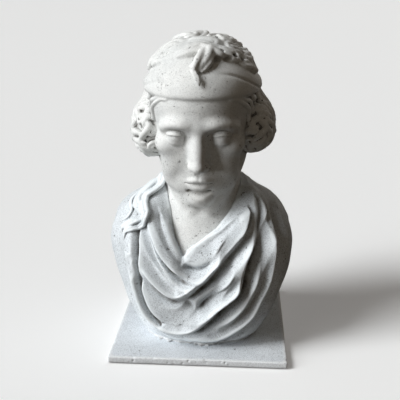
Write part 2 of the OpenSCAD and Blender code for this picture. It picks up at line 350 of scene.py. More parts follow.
# Folds of the mantle, each as (crest half width, flank above, flank below) and then points of
# (turn, height, relief). A negative relief is a groove. Left and right are the viewer's.
FOLDS = [
    # roll below the left of the neckline
    ((2.5, 9, 4), (-56, 208, 3), (-48, 188, 6), (-41, 170, 8), (-34, 151, 9), (-27, 135, 9),
     (-18, 121, 8), (-8, 114, 5), (2, 113, 2)),
    # first long fold: right of the neck, down to the middle, up to the left groove
    ((1.2, 13, 4.5), (64, 231, 4), (56, 219, 10), (49, 203, 13), (41, 184, 14), (34, 170, 14),
     (27, 156, 14), (19, 141, 13), (11, 125, 13), (4, 111, 13), (-4, 99, 13), (-11, 88, 12),
     (-17, 83, 11), (-23, 87, 10), (-31, 99, 9), (-38, 112, 7), (-44, 126, 4)),
    # second long fold: outside the first, down to the foot and up towards the left groove
    ((1.2, 11, 4.5), (72, 229, 4), (62, 213, 10), (53, 192, 13), (44, 166, 14), (37, 143, 14),
     (32, 119, 14), (28, 92, 14), (21, 78, 14), (13, 62, 13), (6, 47, 13), (-3, 32, 12), (-12, 25, 11),
     (-22, 24, 10), (-31, 29, 8), (-38, 36, 3)),
    # roll along the outside of the deep left groove
    ((7, 1.0, 9), (-24, 25, 4), (-32, 31, 7), (-38.5, 42, 8.5), (-43.5, 58, 8.5), (-46.6, 84, 8.5),
     (-48.6, 114, 8.5), (-51.2, 137, 8), (-55.3, 162, 6), (-59, 184, 2)),
    # lip along the inside of that groove
    ((2, 14, 1.5), (-51, 170, 2), (-46, 143, 4.5), (-43.5, 118, 6), (-41.6, 88, 6.5), (-38, 64, 6.5),
     (-33.3, 49, 5.5), (-29, 41, 4)),
    # outer fold on the right
    ((1.2, 10, 6), (84, 227, 3), (70, 215, 9), (61, 195, 12), (56, 159, 13), (53, 122, 13), (50, 95, 13),
     (45, 71, 12), (39, 47, 11), (31, 30, 9), (18, 13, 6), (4, 6, 3)),
    # narrow folds between the long ones
    ((1.2, 6, 4.5), (49, 150, 2), (44, 120, 7), (40, 94, 9), (33, 68, 9), (24, 46, 7), (14, 32, 2)),
    ((1.2, 5, 4), (38, 168, 2), (31, 140, 6), (26, 118, 8), (21, 102, 8), (15, 90, 6), (9, 80, 2)),
    ((1.2, 6, 4), (22, 84, 2), (14, 74, 6), (7, 60, 7), (0, 48, 5), (-8, 42, 2)),
    ((1.5, 8, 4), (-44, 172, 2), (-37, 146, 5), (-30, 127, 7), (-22, 110, 7), (-14, 99, 4)),
    # deep groove on the left
    ((0.5, 1.4, 1.4), (-56.5, 186, -5), (-53, 166, -11), (-48.8, 140, -16), (-46.2, 116, -20),
     (-44.2, 86, -21), (-40.7, 60, -20), (-35.5, 42, -15), (-30, 33, -6)),
    # groove under the roll of the neckline
    ((1.5, 4.5, 3.5), (-47, 175, -3), (-41, 160, -7), (-35, 143, -9), (-28, 129, -10), (-22, 117, -10),
     (-15, 107, -9), (-6, 102, -7), (4, 104, -3)),
    # the pocket under the point of the V
    ((1.5, 4, 6), (-15, 131, -5), (-10, 124, -13), (-3, 121, -15), (4, 124, -14), (9, 131, -9),
     (14, 142, -3)),
    # folds between the neckline and the first long fold, on the right
    ((2, 6, 5), (38, 184, 3), (28, 174, 6), (20, 163, 8), (15, 151, 8), (12, 138, 6), (9, 130, 3)),
    # grooves between the long folds where they gather beside the neck
    ((1.5, 5, 4), (66, 228, -4), (59, 217, -9), (52, 201, -11), (46, 184, -10), (41, 168, -6),
     (37, 154, -2)),
    ((1.5, 5, 4), (76, 226, -4), (66, 213, -9), (57, 192, -11), (50, 164, -9), (46, 140, -6),
     (43, 118, -2)),
    # hollows low in the middle
    ((3, 8, 8), (-15, 76, -5), (-9, 69, -11), (-3, 62, -6)),
    ((3, 7, 8), (-1, 60, -7), (5, 69, -14), (11, 80, -12), (17, 94, -5)),
    # arms: soft vertical folds
    ((8, 14, 14), (-74, 196, 1), (-80, 150, 4), (-78, 100, 4), (-70, 50, 3)),
    ((4, 10, 8), (-98, 206, 2), (-94, 170, 5), (-92, 120, 5), (-84, 60, 4), (-72, 20, 2)),
    ((6, 14, 12), (84, 176, 1), (80, 140, 4), (74, 96, 5), (64, 50, 4), (54, 16, 2)),
    # back: the mantle's folds sweep from the right shoulder down to the left
    ((4, 16, 10), (104, 212, 2), (118, 198, 5), (140, 170, 7), (162, 140, 7), (186, 114, 7),
     (210, 94, 6), (236, 80, 5), (258, 72, 2)),
    ((4, 16, 10), (98, 184, 2), (112, 160, 5), (132, 128, 7), (156, 98, 7), (182, 72, 7), (208, 52, 6),
     (234, 40, 4), (254, 34, 1)),
    ((4, 15, 10), (96, 140, 2), (110, 112, 5), (132, 80, 6), (156, 54, 6), (182, 34, 5), (206, 20, 3)),
    ((4, 14, 10), (124, 218, 2), (148, 200, 5), (168, 176, 6), (190, 155, 6), (214, 139, 5),
     (240, 129, 3), (262, 125, 1)),
    ((4, 12, 9), (160, 219, 2), (180, 204, 5), (204, 191, 5), (230, 182, 4), (256, 178, 2)),
]

# The joint between the bust and the bare chest, as (turn, height).
RIM = [
    (-180, 236), (-120, 234), (-78, 228), (-60, 216), (-46, 199), (-39, 189), (-28, 175), (-15, 161),
    (-9, 154), (-4, 156), (8, 168), (20, 177), (31, 188), (45, 199), (60, 213), (78, 226), (120, 234),
    (180, 236),
]

# The rolled edge of the mantle, as (turn, height, radius), left and right of the point of the V.
LEFT_ROLL = [
    (-80, 228, 4), (-64, 221, 5), (-54, 210, 6), (-46, 196, 6.5), (-39, 181, 7), (-32, 166, 7),
    (-25, 151, 6.5), (-19, 139, 5), (-15, 131, 3), (-12, 126, 1.5),
]
RIGHT_ROLL = [
    (-14, 133, 2.5), (-11, 139, 4), (-4, 150, 5.5), (6, 161, 6.5), (18, 172, 7), (29, 183, 7),
    (38, 194, 6), (46, 207, 5), (56, 219, 5), (70, 227, 5), (82, 230, 5), (96, 230, 5), (120, 234, 5),
    (150, 236, 5), (180, 237, 5), (210, 236, 5), (240, 234, 5), (262, 230, 4),
]

# The long lock over the left shoulder: each part as its width and then points of (turn, height, lift).
SIDE_LOCK = [
    (15, (-118, 236, 1), (-100, 233, 3), (-86, 229, 3), (-75, 221, 3), (-71, 211, 3), (-64, 203, 3),
     (-57, 196, 3), (-56, 187, 2.5), (-60, 178, 2), (-65, 170, 1), (-66, 160, 0)),
    (15, (-106, 238, 1), (-88, 234, 3), (-74, 228, 3.5), (-66, 220, 3.5), (-64, 211, 3), (-56, 203, 3),
     (-50, 195, 3), (-50, 185, 2.5), (-54, 176, 2), (-60, 168, 1.5), (-61, 156, 0)),
    (8, (-104, 228, 0), (-88, 221, 1.5), (-80, 212, 2), (-74, 203, 1.5), (-66, 195, 1), (-65, 186, 1),
     (-70, 177, 0)),
]
TURN_STEP, HEIGHT_STEP = 0.6, 1.0  # spacing of the map of the bust's surface, in degrees and mm
TURN_LENGTH = 1.7  # mm that one degree of turn counts for, when a path on the surface is made denser
FLAT_RADIUS = 100  # mm of arc taken for one radian, when folds are laid out flat
FOLD_DEPTH = 1.15  # all the relief is multiplied by this
LOWER_FOLD = 0.25  # how much of a fold shows where a higher one runs over it
VALLEY_DEPTH = 0.8  # of the valley below a fold, as a share of the fold's relief
VALLEY_PLACE, VALLEY_WIDTH = 2.8, 1.4  # of that valley, in widths of the fold's lower flank
UNDERCLOTH = 3.0  # how far the mantle lies below the bust's plain section where it has no fold
TOP = 1.06  # how far up the bust's clay and the neck go, as a share of the bust's height


class Torso:
    """The bust's surface as radii over turn and height, with the folds laid on."""

    def __init__(self):
        low, high = (corner / MM for corner in BOXES["draped_bust"])
        self.foot = low[2]
        self.tall = high[2] - low[2]
        self.half = (high[0] - low[0]) / 2
        self.turns = np.arange(-180, 180 + TURN_STEP, TURN_STEP)
        self.heights = np.arange(0, 1.08 * self.tall, HEIGHT_STEP)
        turn, height = np.meshgrid(self.turns, self.heights, indexing="ij")
        self.plain = self.section(TORSO, TORSO_SQUARENESS, turn, height)
        self.skin = self.section(CHEST, CHEST_SQUARENESS, turn, height)
        draped = smooth_step((self.below_rolls(turn, height) + 6) / 12)
        beside_chest = smooth_step((height / self.tall - CHEST[0][0]) / 0.05)
        garment = beside_chest * (self.skin + 1.0) + (1 - beside_chest) * 0.7 * self.plain
        folded = np.maximum(self.plain + fold_relief(turn, height) - UNDERCLOTH, garment)
        self.outer = garment + (folded - garment) * draped

    def section(self, table, squareness, turn, height):
        """Radii of rounded sections, more like a rectangle the greater their squareness."""
        wide, front, back = (c * self.half for c in lookup(table, height / self.tall))
        angle = np.radians(turn)
        deep = np.where(np.cos(angle) > 0, front, back)
        across, forward = np.abs(np.sin(angle)) / wide, np.abs(np.cos(angle)) / deep
        return (across**squareness + forward**squareness) ** (-1 / squareness)

    def below_rolls(self, turn, height):
        """How far a place lies below the V of the mantle's edge."""
        edge = [(t, h) for t, h, _ in LEFT_ROLL[:-1]] + [(t, h) for t, h, _ in RIGHT_ROLL[1:]]
        edge = [(-180, 234)] + edge + [(180, 234)]
        return np.interp(turn, *zip(*edge)) - height

    def radius_at(self, radii, turn, height):
        """Radii between the rows of turns and heights."""
        i = np.clip((turn + 180) / TURN_STEP, 0, len(self.turns) - 1.001)
        j = np.clip(height / HEIGHT_STEP, 0, len(self.heights) - 1.001)
        i0, j0 = i.astype(int), j.astype(int)
        s, t = (i - i0).astype(np.float32), (j - j0).astype(np.float32)
        return (
            radii[i0, j0] * (1 - s) * (1 - t) + radii[i0 + 1, j0] * s * (1 - t)
            + radii[i0, j0 + 1] * (1 - s) * t + radii[i0 + 1, j0 + 1] * s * t
        )

    def solid(self, radii, x, y, z, margin=0.0):
        """Distances to the solid inside a set of radii, made true where the surface is steep."""
        per_radian = np.gradient(radii, math.radians(TURN_STEP), axis=0)
        steep = np.gradient(radii, HEIGHT_STEP, axis=1) ** 2 + (per_radian / radii) ** 2
        true = (1 / np.sqrt(1 + np.clip(steep, 0, 8))).astype(np.float32)
        turn, height = turn_of(x, y), z - self.foot
        radius = self.radius_at(radii.astype(np.float32), turn, height)
        return (np.sqrt(x * x + y * y) - radius - margin) * self.radius_at(true, turn, height)

    def point(self, turn, height, lift):
        """A point above the folded surface."""
        turn = (turn + 180) % 360 - 180
        radius = float(self.radius_at(self.outer, np.array(turn), np.array(height))) + lift
        angle = math.radians(turn)
        return [radius * math.sin(angle), -radius * math.cos(angle), self.foot + height]

    def path(self, rows):
        """Places along rows of turn, height and lift, and the ways out of the surface there."""
        dense = rows_through(rows, 2.5, [TURN_LENGTH, 1, 1])
        places = np.array([self.point(*row) for row in dense])
        rise = np.clip((places[:, 2] - self.foot - 150) * 1.6, 0, 160)
        return places, units(np.column_stack([places[:, :2], rise]))

    def rope(self, rows, lift):
        """A rope laid on the surface along rows of turn, height and radius."""
        dense = rows_through(rows, ROW_SPACING, [TURN_LENGTH, 1, 1])
        places = [self.point(turn, height, lift) for turn, height, _ in dense]
        return strand(places, dense[:, 2])


def fold_relief(turn, height):
    """The folds' relief over a flat map of the surface, each fold with a valley along its lower flank."""
    arc = math.radians(FLAT_RADIUS)
    highest = np.zeros_like(turn)
    deepest = np.zeros_like(turn)
    for (crest, above, below), *rows in FOLDS:
        line = rows_through(rows, 4.0, [arc, 1, 1])
        nearest = np.full(turn.shape, 1e9)
        relief, side = np.zeros_like(turn), np.zeros_like(turn)
        for start, end in zip(line, line[1:]):
            du = ((turn - start[0] + 180) % 360 - 180) * arc
            dv = height - start[1]
            eu, ev = (end[0] - start[0]) * arc, end[1] - start[1]
            t = np.clip((du * eu + dv * ev) / (eu * eu + ev * ev), 0, 1)
            away2 = (du - t * eu) ** 2 + (dv - t * ev) ** 2
            closer = away2 < nearest
            nearest = np.where(closer, away2, nearest)
            relief = np.where(closer, start[2] + t * (end[2] - start[2]), relief)
            side = np.where(closer, np.sign(dv * eu - du * ev) * np.sign(eu), side)
        flank = np.where(side > 0, above, below)
        profile = np.exp((crest - np.sqrt(nearest + crest * crest)) / flank)
        if rows[len(rows) // 2][2] > 0:
            fold = relief * profile
            highest = np.maximum(highest, fold) + LOWER_FOLD * np.minimum(highest, fold)
            valley = bell(np.sqrt(nearest) - VALLEY_PLACE * below, VALLEY_WIDTH * below) * (side < 0)
            deepest = np.minimum(deepest, -VALLEY_DEPTH * relief * valley)
        else:
            deepest = np.minimum(deepest, relief * profile)
    return FOLD_DEPTH * (highest + deepest)


def carve_bust(torso, step):
    """The draped bust, with its rolled edge, the lock on the shoulder and the socket for the chest."""
    low = (-150, -118, torso.foot - 3)
    high = (150, 108, torso.foot + TOP * torso.tall)
    tenon_foot = torso.foot + CHEST[0][0] * torso.tall - 1.5
    rim_turns, rim_heights = zip(*RIM)

    def opening(x, y, z):
        return 0.7 * (np.interp(turn_of(x, y), rim_turns, rim_heights) + torso.foot - z)

    def socket(x, y, z):
        return np.maximum(torso.solid(torso.skin, x, y, z, margin=0.6), tenon_foot - z)

    clay = Clay(low, high, step)
    clay.add(Field(low, high, lambda x, y, z: torso.solid(torso.outer, x, y, z)))
    clay.add(torso.rope(LEFT_ROLL, lift=-1.0), blend=5)
    clay.add(torso.rope(RIGHT_ROLL, lift=-0.5), blend=5)
    clay.cut(Field((*low[:2], torso.foot + 140), high, opening), blend=1.0)
    for width, *rows in SIDE_LOCK:
        add_lock(clay, torso.path(rows), width)
    clay.cut(Field((-80, -95, tenon_foot), (80, 80, high[2]), socket))
    clay.cut(Field(low, (*high[:2], torso.foot + 4), lambda x, y, z: z - torso.foot))
    return clay


# ---------------------------------------------------------------- the head

# The head has its own frame: its origin is the middle of the head at the eye line, +X to the viewer's
# right, -Y out of the face, +Z to the crown. The head is bowed forward by this angle.
BOW = math.radians(14)
HEAD_ORIGIN = (0.0, -8.0, 346.5)


def head_place(points):
    """Points of the head's frame, in the bust's frame."""
    return np.stack(to_bust(*points.T), 1)


def to_bust(x, y, z):
    return (
        x + HEAD_ORIGIN[0],
        y * math.cos(BOW) - z * math.sin(BOW) + HEAD_ORIGIN[1],
        y * math.sin(BOW) + z * math.cos(BOW) + HEAD_ORIGIN[2],
    )


def to_head(x, y, z):
    y, z = y - HEAD_ORIGIN[1], z - HEAD_ORIGIN[2]
    return (
        x - HEAD_ORIGIN[0],
        y * math.cos(BOW) + z * math.sin(BOW),
        -y * math.sin(BOW) + z * math.cos(BOW),
    )


def on_side(side, rows):
    """Rows drawn for the viewer's right, on the left for a side of -1."""
    return [(side * x, *rest) for x, *rest in rows]


def mirrored(rows):
    """Rows from one side to the other, from the half on the viewer's right, which ends in the middle."""
    return on_side(-1, rows) + rows[-2::-1]


def carve_skull(clay):
    """The masses of the head: skull, forehead, jaw, cheeks, chin and the mound of the mouth."""
    clay.add(Ball((0, 10, 30), (75, 96, 76)))
    clay.add(Ball((0, -32, 36), (62, 54, 54)), blend=14)
    clay.add(Ball((0, -34, -20), (60, 52, 66)), blend=16)
    for side in (-1, 1):
        jaw = [(58, -4, -36, 11), (51, -20, -64, 12), (32, -50, -88, 11), (10, -70, -97, 11)]
        clay.add(Rope(on_side(side, jaw)), blend=14)
        clay.add(Ball((side * 42, -60, -16), (21, 22, 17)), blend=14)
        clay.add(Ball((side * 31, -62, -46), (23, 21, 25)), blend=14)
        clay.add(Ball((side * 32, -56, -68), (22, 19, 24)), blend=14)
        clay.add(Ball((side * 19, -68, -76), (17, 16, 17)), blend=12)
    clay.add(Ball((0, -77, -94), (18, 15, 15)), blend=12)
    clay.add(Ball((0, -71, -62), (27, 21, 27)), blend=12)


def carve_eyes(clay):
    """Brows, eye hollows, and blank eyes under lids that are nearly closed."""
    for side in (-1, 1):
        brow = [(8, -84, 19, 6), (22, -86, 22, 7), (38, -79, 19, 7), (50, -68, 12, 5)]
        crease = [
            (17, -87, 4, 1.2), (24, -91, 10.5, 1.6), (33, -90.5, 11.5, 1.6),
            (43, -84.5, 8.5, 1.6), (49, -76.5, 2, 1.2),
        ]
        clay.add(Rope(on_side(side, brow)), blend=12)
        clay.cut(Ball((side * 31, -93, 3), (18, 12, 10)), blend=10)
        clay.add(eyeball(side, 13.2), blend=1.0)
        clay.add(eyelid(side, 15.2, upper=True), blend=0.8)
        clay.add(eyelid(side, 14.2, upper=False), blend=1.5)
        clay.cut(Rope(on_side(side, crease)), blend=2.0)


def eyeball(side, radius):
    return Ball((side * 30.5, -74, 0), radius)


def eyelid(side, radius, upper):
    """A ball round the eye, kept above or below the bowed edge of the lid."""
    ball = eyeball(side, radius)
    low, high = ball.corners()

    def distance(x, y, z):
        across = x - float(ball.centre[0])
        bow = 1 - (across / 15.5) ** 2
        margin = (1.8 + 4.2 * bow if upper else -2.5 - 3.6 * bow) + 0.05 * side * across
        return np.maximum(ball.away(x, y, z), margin - z if upper else z - margin)

    return Field(low, high, distance)


def carve_nose(clay):
    """The nose: its bridge on a wider body, tip, wings, nostrils and the groove round each wing."""
    bridge = [(0, -78, 26, 10), (0, -85, 10, 8.5), (0, -92.5, -8, 8), (0, -99, -24, 8), (0, -101, -33, 8)]
    body = [(0, -74, 12, 12), (0, -82, -8, 13), (0, -87, -24, 13), (0, -89, -33, 11)]
    groove = [(14, -87, -43, 1.1), (16.5, -88, -37, 1.3), (14, -93, -30, 0.8)]
    clay.add(Rope(bridge), blend=9)
    clay.add(Rope(body), blend=9)
    clay.add(Ball((0, -103, -34), (8.2, 7.8, 7)), blend=6)
    for side in (-1, 1):
        clay.add(Ball((side * 9.2, -92, -36.5), (6.2, 9.5, 6.2)), blend=6)
        clay.cut(Ball((side * 5, -99, -44), (2.8, 5.5, 2.6)), blend=1.5)
        clay.cut(Rope(on_side(side, groove)), blend=3)


def carve_mouth(clay):
    """Closed lips, the groove above them and the hollow below."""
    groove = [(0, -92, -47, 2.0), (0, -94, -56, 2.4)]
    upper = [
        (23, -79, -65.5, 1.6), (16, -86.5, -63, 3.0), (9, -90.5, -60.5, 3.9), (3, -92, -59.5, 3.8),
        (0, -91.5, -60.5, 3.6),
    ]
    lower = [(20, -81, -67.5, 1.8), (14, -86, -69.5, 3.6), (7, -89, -71.5, 5.0), (0, -89.5, -72, 5.4)]
    parting = [
        (22.5, -83, -66.3, 0.6), (16, -89.5, -66, 1.0), (7, -95, -66, 1.1), (2.5, -96.5, -65.6, 1.1),
        (0, -96, -66.2, 1.1),
    ]
    under = [(15, -83, -80, 0.8), (8, -87.5, -82, 2.0), (0, -89.5, -83, 3.2)]
    clay.cut(Rope(groove), blend=5)
    clay.add(Rope(mirrored(upper)), blend=3.5)
    clay.add(Rope(mirrored(lower)), blend=4)
    clay.cut(Rope(mirrored(parting)), blend=1.0)
    clay.cut(Rope(mirrored(under)), blend=8)


def carve_neck(clay, torso):
    """The neck and bare chest, which stand upright, with the tenon that goes down into the bust."""
    tenon_foot = torso.foot + CHEST[0][0] * torso.tall
    top = torso.foot + TOP * torso.tall

    def chest(x, y, z):
        bust_x, bust_y, bust_z = to_bust(x, y, z)
        inside = torso.solid(torso.skin, bust_x, bust_y, bust_z)
        return np.maximum(np.maximum(inside, bust_z - top), tenon_foot - bust_z)

    neck = [(*to_head(0, 10, 230), 49), (*to_head(0, 6, 262), 49), (0, 14, -50, 50)]
    clay.add(Field((-72, -142, -262), (72, 60, -80), chest), blend=6)
    clay.add(Rope(neck, smooth=False), blend=10)
    for side in (-1, 1):
        low, middle = to_head(side * 13, -51, 211), to_head(side * 30, -42, 236)
        clay.add(Rope([(*low, 7), (*middle, 9), (side * 52, -6, -72, 11)]), blend=9)


# The fillet lies between two planes that rise towards the forehead: its height is z + FILLET_RISE * y.
FILLET_RISE = 0.215
FILLET_LOW, FILLET_HIGH = 38.0, 97.0
FILLET_DROP = 36.0  # how much lower its upper edge is at the sides and back than at the front
HAIR_CAP = Ball((0, 10, 32), (82, 101, 76))


def fillet_height(y, z):
    return z + FILLET_RISE * y


def above_fillet(x, y, z):
    """Height above the fillet's upper edge."""
    turn = np.degrees(np.arctan2(np.abs(x), HAIR_CAP.centre[1] - y))
    return fillet_height(y, z) - FILLET_HIGH + FILLET_DROP * smooth_step((turn - 30) / 55)


def in_hair(x, y, z):
    """How much more dirt and painted shade gathers in the hollows: up to 1.2 in the drilled hair, and 0 on
    face, neck and fillet.
    """
    crown = smooth_step((above_fillet(x, y, z) - 6) / 6)
    below = smooth_step((FILLET_LOW - fillet_height(y, z)) / 6) * smooth_step((z + 76) / 12)
    return 1.2 * np.maximum(crown, below * smooth_step((np.abs(x) + 0.5 * (y + 30) - 58) / 10))


def carve_fillet(clay):
    """The cap of hair inside the fillet, and the fillet's band with its creases."""
    tilt = 1 / math.hypot(1, FILLET_RISE)

    def cap(x, y, z):
        return np.maximum(HAIR_CAP.away(x, y, z), (FILLET_LOW + 4 - fillet_height(y, z)) * tilt)

    def band(x, y, z):
        high = fillet_height(y, z) - above_fillet(x, y, z)
        up = (fillet_height(y, z) - (FILLET_LOW + high) / 2) * tilt + 0 * x
        half = (high - FILLET_LOW) / 2 * tilt
        turn = turn_of(x, y)
        right_crease = 1.6 * bell(up - 9 + 0.20 * turn, 2.2)
        right_crease = right_crease * smooth_step((turn - 12) / 30) * smooth_step((130 - turn) / 40)
        left_crease = 1.2 * bell(up + 9 + 0.05 * turn, 2.5) * smooth_step((-8 - turn) / 40)
        pinch = 0.7 * bell(turn - 3 - 0.1 * up, 4.0)
        pinch = pinch * smooth_step((8 - up) / 12) * smooth_step((up + 14) / 12)
        swell = 2.5 * (1 - (up / half) ** 2)
        thick = 2.5 + swell - (right_crease + left_crease) + pinch
        return -soft_min(-(HAIR_CAP.away(x, y, z) - thick), half - np.abs(up), 7)

    low, high = HAIR_CAP.corners()
    clay.add(Field(low, high, cap), blend=3)
    clay.add(Field(low - 8, high + 8, band), blend=3.0)


def curl(centre, outward, size, start, handed):
    """A snail curl: a rope that winds in on the surface and rises towards its middle."""
    turns = 1.45
    outward = Vector(outward).normalized()
    across = Matrix.Rotation(math.radians(start), 3, outward) @ outward.orthogonal().normalized()
    along = outward.cross(across) * handed
    steps = 18
    rows = []
    for k in range(steps + 1):
        share = k / steps
        angle = 2 * math.pi * turns * share
        reach = size * (0.72 - 0.56 * share)
        place = Vector(centre) + across * (reach * math.cos(angle)) + along * (reach * math.sin(angle))
        place += outward * (size * (0.02 + 0.30 * share))
        rows.append((*place, size * (0.30 - 0.06 * share)))
    return Rope(rows, smooth=False)


LOCK_POINTS = 15


def s_lock(ball, place, angle, length, handed):
    """A short lock bent like an S on a ball, as a rope."""
    outward = (np.array(place) - ball.centre) / ball.radii**2
    outward /= np.linalg.norm(outward)
    level = np.cross(outward, (0, 0, 1))
    level /= np.linalg.norm(level)
    upward = np.cross(level, outward)
    along = level * math.sin(angle) - upward * math.cos(angle)
    across = np.cross(outward, along) * handed
    rows = []
    for share in np.arange(LOCK_POINTS) / (LOCK_POINTS - 1):
        bend = math.sin(2 * math.pi * share * 0.95) * length * 0.24
        point = place + along * (length * (share - 0.5)) + across * bend - ball.centre
        point = ball.centre + point / np.linalg.norm(point / ball.radii)
        lift = 2.2 * math.sin(math.pi * share)
        radius = 1.8 + 3.6 * math.sin(math.pi * min(1.0, 0.15 + share)) ** 0.7
        rows.append((*(point + outward * lift), radius))
    return Rope(rows, smooth=False)


def hooked(path, size, handed):
    """A path that ends in a hook, and the middle of the hook."""
    turns = 0.85
    places, outward = path
    ahead = places[-1] - places[-3]
    ahead /= np.linalg.norm(ahead)
    out = outward[-1]
    side = np.cross(out, ahead) * handed
    middle = places[-1] + side * size
    share = np.linspace(0, 1, 12)[1:, None]
    angle = 2 * math.pi * turns * share
    winding = (ahead * np.sin(angle) - side * np.cos(angle)) * size * (1 - 0.5 * share)
    hook = middle + winding + out * size * 0.35 * share
    return (np.vstack([places, hook]), np.vstack([outward, np.repeat(out[None], len(hook), 0)])), middle


# How wide a lock is along its length, as (share of the length, share of the width).
TAPER = ((0, 0.55), (0.12, 0.95), (0.6, 1.0), (0.85, 0.75), (1, 0.25))


def add_lock(clay, path, width, strands=3, blend=0.8, twist=0.0):
    """A lock of hair along a path: strands side by side, or wound round each other by a twist in turns."""
    places, outward = path
    ahead = np.gradient(places, axis=0)
    side = units(np.cross(outward, ahead))
    share = np.linspace(0, 1, len(places))
    size = width * np.interp(share, *zip(*TAPER))
    for k in range(strands):
        if twist:
            angle = 2 * math.pi * (k / strands + twist * share)
            across, lift = 0.27 * size * np.sin(angle), 0.22 * size * np.cos(angle)
            radius = 0.30 * size
        else:
            place = (k - (strands - 1) / 2) / strands
            across = place * size
            lift = 0.22 * size * (1 - 4 * place * place)
            radius = 0.56 * size / strands + 0.3
        centre = places + side * across[:, None] + outward * lift[:, None]
        clay.add(strand(centre, radius), blend)


def ray_path(clay, rows):
    """Places on the clay's surface and the ways out there, along rows of turn, rise and lift.

    The turn and rise are seen from a point inside the head.
    """
    inside = np.array((0, 12, 10))
    farthest, nearest, stride = 150, 30, 0.75
    dense = rows_through(rows, ROW_SPACING, [1.4, 1.6, 1])
    ways = way_to(dense[:, 0], dense[:, 1])
    reach = np.arange(farthest, nearest, -stride)
    points = inside + ways[:, None] * reach[None, :, None]
    values = clay.sample(clay.d, points.reshape(-1, 3)).reshape(len(ways), -1)
    first = np.maximum(np.argmax(values < 0, axis=1), 1)
    row = np.arange(len(ways))
    outer, inner = values[row, first - 1], values[row, first]
    exact = reach[first - 1] - stride * outer / np.maximum(outer - inner, 1e-6)
    soft = np.convolve(np.pad(exact, 2, "edge"), np.ones(5) / 5, "valid")
    places = inside + ways * (soft + dense[:, 2])[:, None]
    steps = 3 * np.eye(3)
    slopes = [clay.sample(clay.d, places + step) - clay.sample(clay.d, places - step) for step in steps]
    return places, units(units(np.stack(slopes, 1)) + 0.6 * ways)


def way_to(turn, rise):
    """Directions at turns and rises."""
    turn, rise = np.radians(turn), np.radians(rise)
    return np.stack([np.sin(turn) * np.cos(rise), -np.cos(turn) * np.cos(rise), np.sin(rise)], -1)


def dome(ball, turn, rise, lift=0.0):
    """A point on a ball's surface, and the way out of it, from a turn and a rise above its middle."""
    way = way_to(turn, rise)
    outward = way / ball.radii
    outward /= np.linalg.norm(outward)
    return ball.centre + way * ball.radii + outward * lift, outward


def fillet_edge(turn):
    """The rise at which the hair comes out above the fillet."""
    rises = np.arange(86, -30, -1.0)
    places = [dome(HAIR_CAP, turn, rise)[0] for rise in rises]
    return float(np.interp(-7.0, [-above_fillet(*p) for p in places], rises))


def arc(ball, start, end, sway, waves, phase):
    """A wavy path over a ball between two places, and the ways out of the ball along it."""
    first, last = ((np.array(place) - ball.centre) / ball.radii for place in (start, end))
    length = np.linalg.norm((first - last) * ball.radii)
    share = np.linspace(0, 1, max(8, int(length / ROW_SPACING)))[:, None]
    ways = units((1 - share) * first + share * last)
    places = ball.centre + ways * ball.radii
    outward = units(ways / ball.radii)
    side = units(np.cross(outward, np.gradient(places, axis=0)))
    angle = 2 * math.pi * waves * share + phase
    wave = sway * np.sin(angle)
    lift = 1.6 * np.cos(angle) - np.sin(math.pi * share)
    return places + side * wave + outward * lift, outward


KNOT = (9, -24, 104)
CROWN_LOCKS = 13  # on each side


def carve_crown(clay, chance):
    """Thick wavy locks drawn up from the fillet to the knot over the forehead, some ending in hooks."""
    for side in (-1, 1):
        for k in range(CROWN_LOCKS):
            turn = side * (9 + 13.5 * k)
            start, _ = dome(HAIR_CAP, turn, fillet_edge(turn))
            short = k % 3 == 1
            end = Vector(KNOT) + Vector((side * 7, 5, 0))
            if short:
                end = Vector(start).lerp(Vector(KNOT), 0.62)
            sway = 6.5 if k else 2.5
            path = arc(HAIR_CAP, start, end, sway, 0.8 + 0.12 * k, phase=side * 1.1 * k)
            if short:
                path, middle = hooked(path, 6.0, side)
                clay.cut(Ball(middle + path[1][-1] * 2, 2.6), blend=0.8)
            add_lock(clay, path, chance.uniform(15, 18), strands=2, blend=1.0)
    drilled = 60
    for k in range(drilled):
        turn, rise = chance.uniform(-70, 110), chance.uniform(35, 78)
        place, _ = dome(HAIR_CAP, turn, rise, 2.0)
        if above_fillet(*place) > 9 and (turn > 8 or k % 4 == 0):
            clay.cut(Ball(place, (chance.uniform(2.4, 4.2), 2.6, chance.uniform(2.4, 4.4))), blend=1.2)


# The locks that come out from under the fillet at the temples, as (turn, rise) seen from inside the head.
TEMPLE_LOCKS = [
    [(27, 24), (37, 22), (46, 17), (53, 9), (57, 0)],
    [(35, 24), (45, 22), (54, 18), (61, 11), (66, 3)],
    [(44, 25), (54, 24), (63, 21), (71, 15)],
]
SIDE_HAIR = [Ball((-74, 8, -23), (28, 46, 39)), Ball((75, 8, -18), (28, 45, 34))]


def carve_side_hair(clay, chance):
    """The hair over the ears: bent locks and drilled curls, with wavy strands from under the fillet."""
    drilled = 12
    for side, mass in zip((-1, 1), SIDE_HAIR):
        for row in range(6):
            rise = 68 - 27 * row
            count = 8 if abs(rise) < 45 else 5
            for column in range(count):
                turn = -26 + 170 * (column + 0.5 * (row % 2)) / (count - 0.5) + chance.uniform(-6, 6)
                height, lift = rise + chance.uniform(-6, 6), chance.uniform(-1.0, 1.5)
                place, outward = dome(mass, side * turn, height, lift)
                if abs(place[0]) < 54 and place[1] < -20:
                    continue  # this one would lie on the cheek
                handed = 1 if chance.random() < 0.5 else -1
                if (row + column) % 4 == 3:
                    add_curl(clay, place, outward, chance.uniform(10, 12), chance.uniform(0, 360), handed)
                else:
                    angle = side * chance.uniform(0.0, 0.9)
                    clay.add(s_lock(mass, place, angle, chance.uniform(30, 38), handed), blend=0.8)
        for _ in range(drilled):
            place, _ = dome(mass, side * chance.uniform(-10, 110), chance.uniform(-60, 60), 0.5)
            clay.cut(Ball(place, (2.6, 2.6, 4.0)), blend=1.2)
        for k, rows in enumerate(TEMPLE_LOCKS):
            add_temple_lock(clay, side, rows, phase=k)


